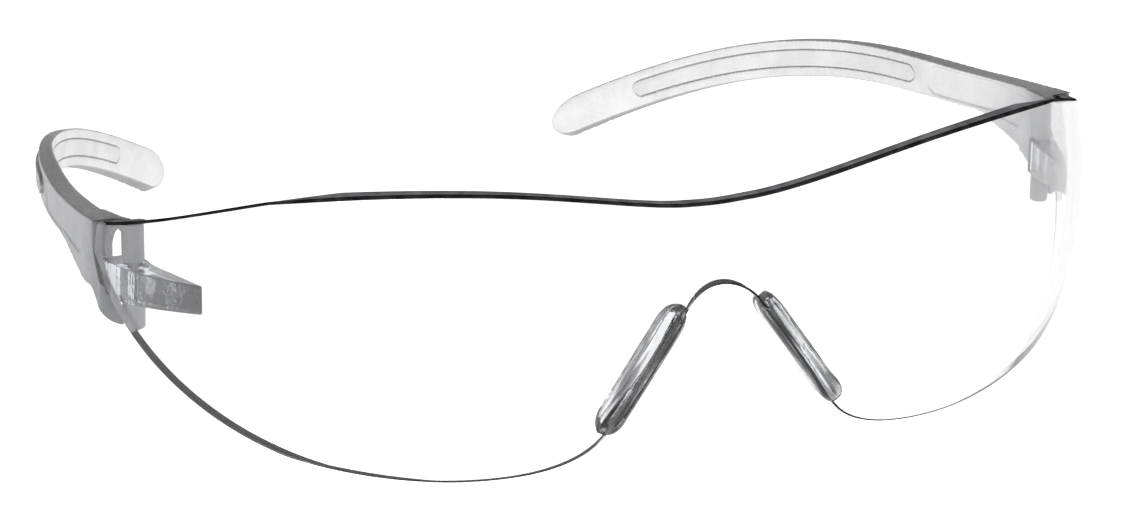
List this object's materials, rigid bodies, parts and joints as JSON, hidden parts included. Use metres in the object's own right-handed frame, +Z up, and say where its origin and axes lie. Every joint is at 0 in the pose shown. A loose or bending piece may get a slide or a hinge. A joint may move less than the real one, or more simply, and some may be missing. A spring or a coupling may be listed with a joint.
{
  "type": "safety glasses",
  "caption": "Frameless wrap-around safety glasses: one clear two-lobed shield lens, clip-on nose pads and slim frosted temples that fold on hinge lugs.",
  "frame": {"origin": "middle of the box in X and Y, at the level of the lens lobes and temple tips it stands on", "axes": "-Y is the front, +X the wearer's left, +Z up"},
  "size_m": [0.1418, 0.1312, 0.0392],
  "materials": {
    "clear_lens": "clear polished polycarbonate, 2 mm thick, with polished edges that look dark",
    "clear_vinyl": "clear glossy soft vinyl with lengthwise streaks and bluish ends",
    "clear_lug": "clear moulded polycarbonate with fine ridges at the knuckle end",
    "pin_plastic": "plain moulded plastic pin",
    "frosted_plastic": "frosted translucent polycarbonate with a satin face and clear edges",
    "soft_inlay": "soft clear grip moulded into the temple, slightly raised outside"
  },
  "bodies": {
    "front": {"lens": "clear_lens", "right_nose_pad": "clear_vinyl", "left_nose_pad": "clear_vinyl", "right_hinge_lug": "clear_lug", "left_hinge_lug": "clear_lug", "right_hinge_pin": "pin_plastic", "left_hinge_pin": "pin_plastic"},
    "left_arm": {"left_temple": "frosted_plastic", "left_temple_inlay": "soft_inlay"},
    "right_arm": {"right_temple": "frosted_plastic", "right_temple_inlay": "soft_inlay"}
  },
  "joints": [
    {"name": "left_temple_fold", "type": "hinge", "parent": "front", "child": "left_arm", "pos_m": [0.06556, -0.02605, 0.0218], "axis": [0, 0, 1], "range_deg": [0, 86]},
    {"name": "right_temple_fold", "type": "hinge", "parent": "front", "child": "right_arm", "pos_m": [-0.06556, -0.02605, 0.0218], "axis": [0, 0, -1], "range_deg": [0, 74]}
  ]
}
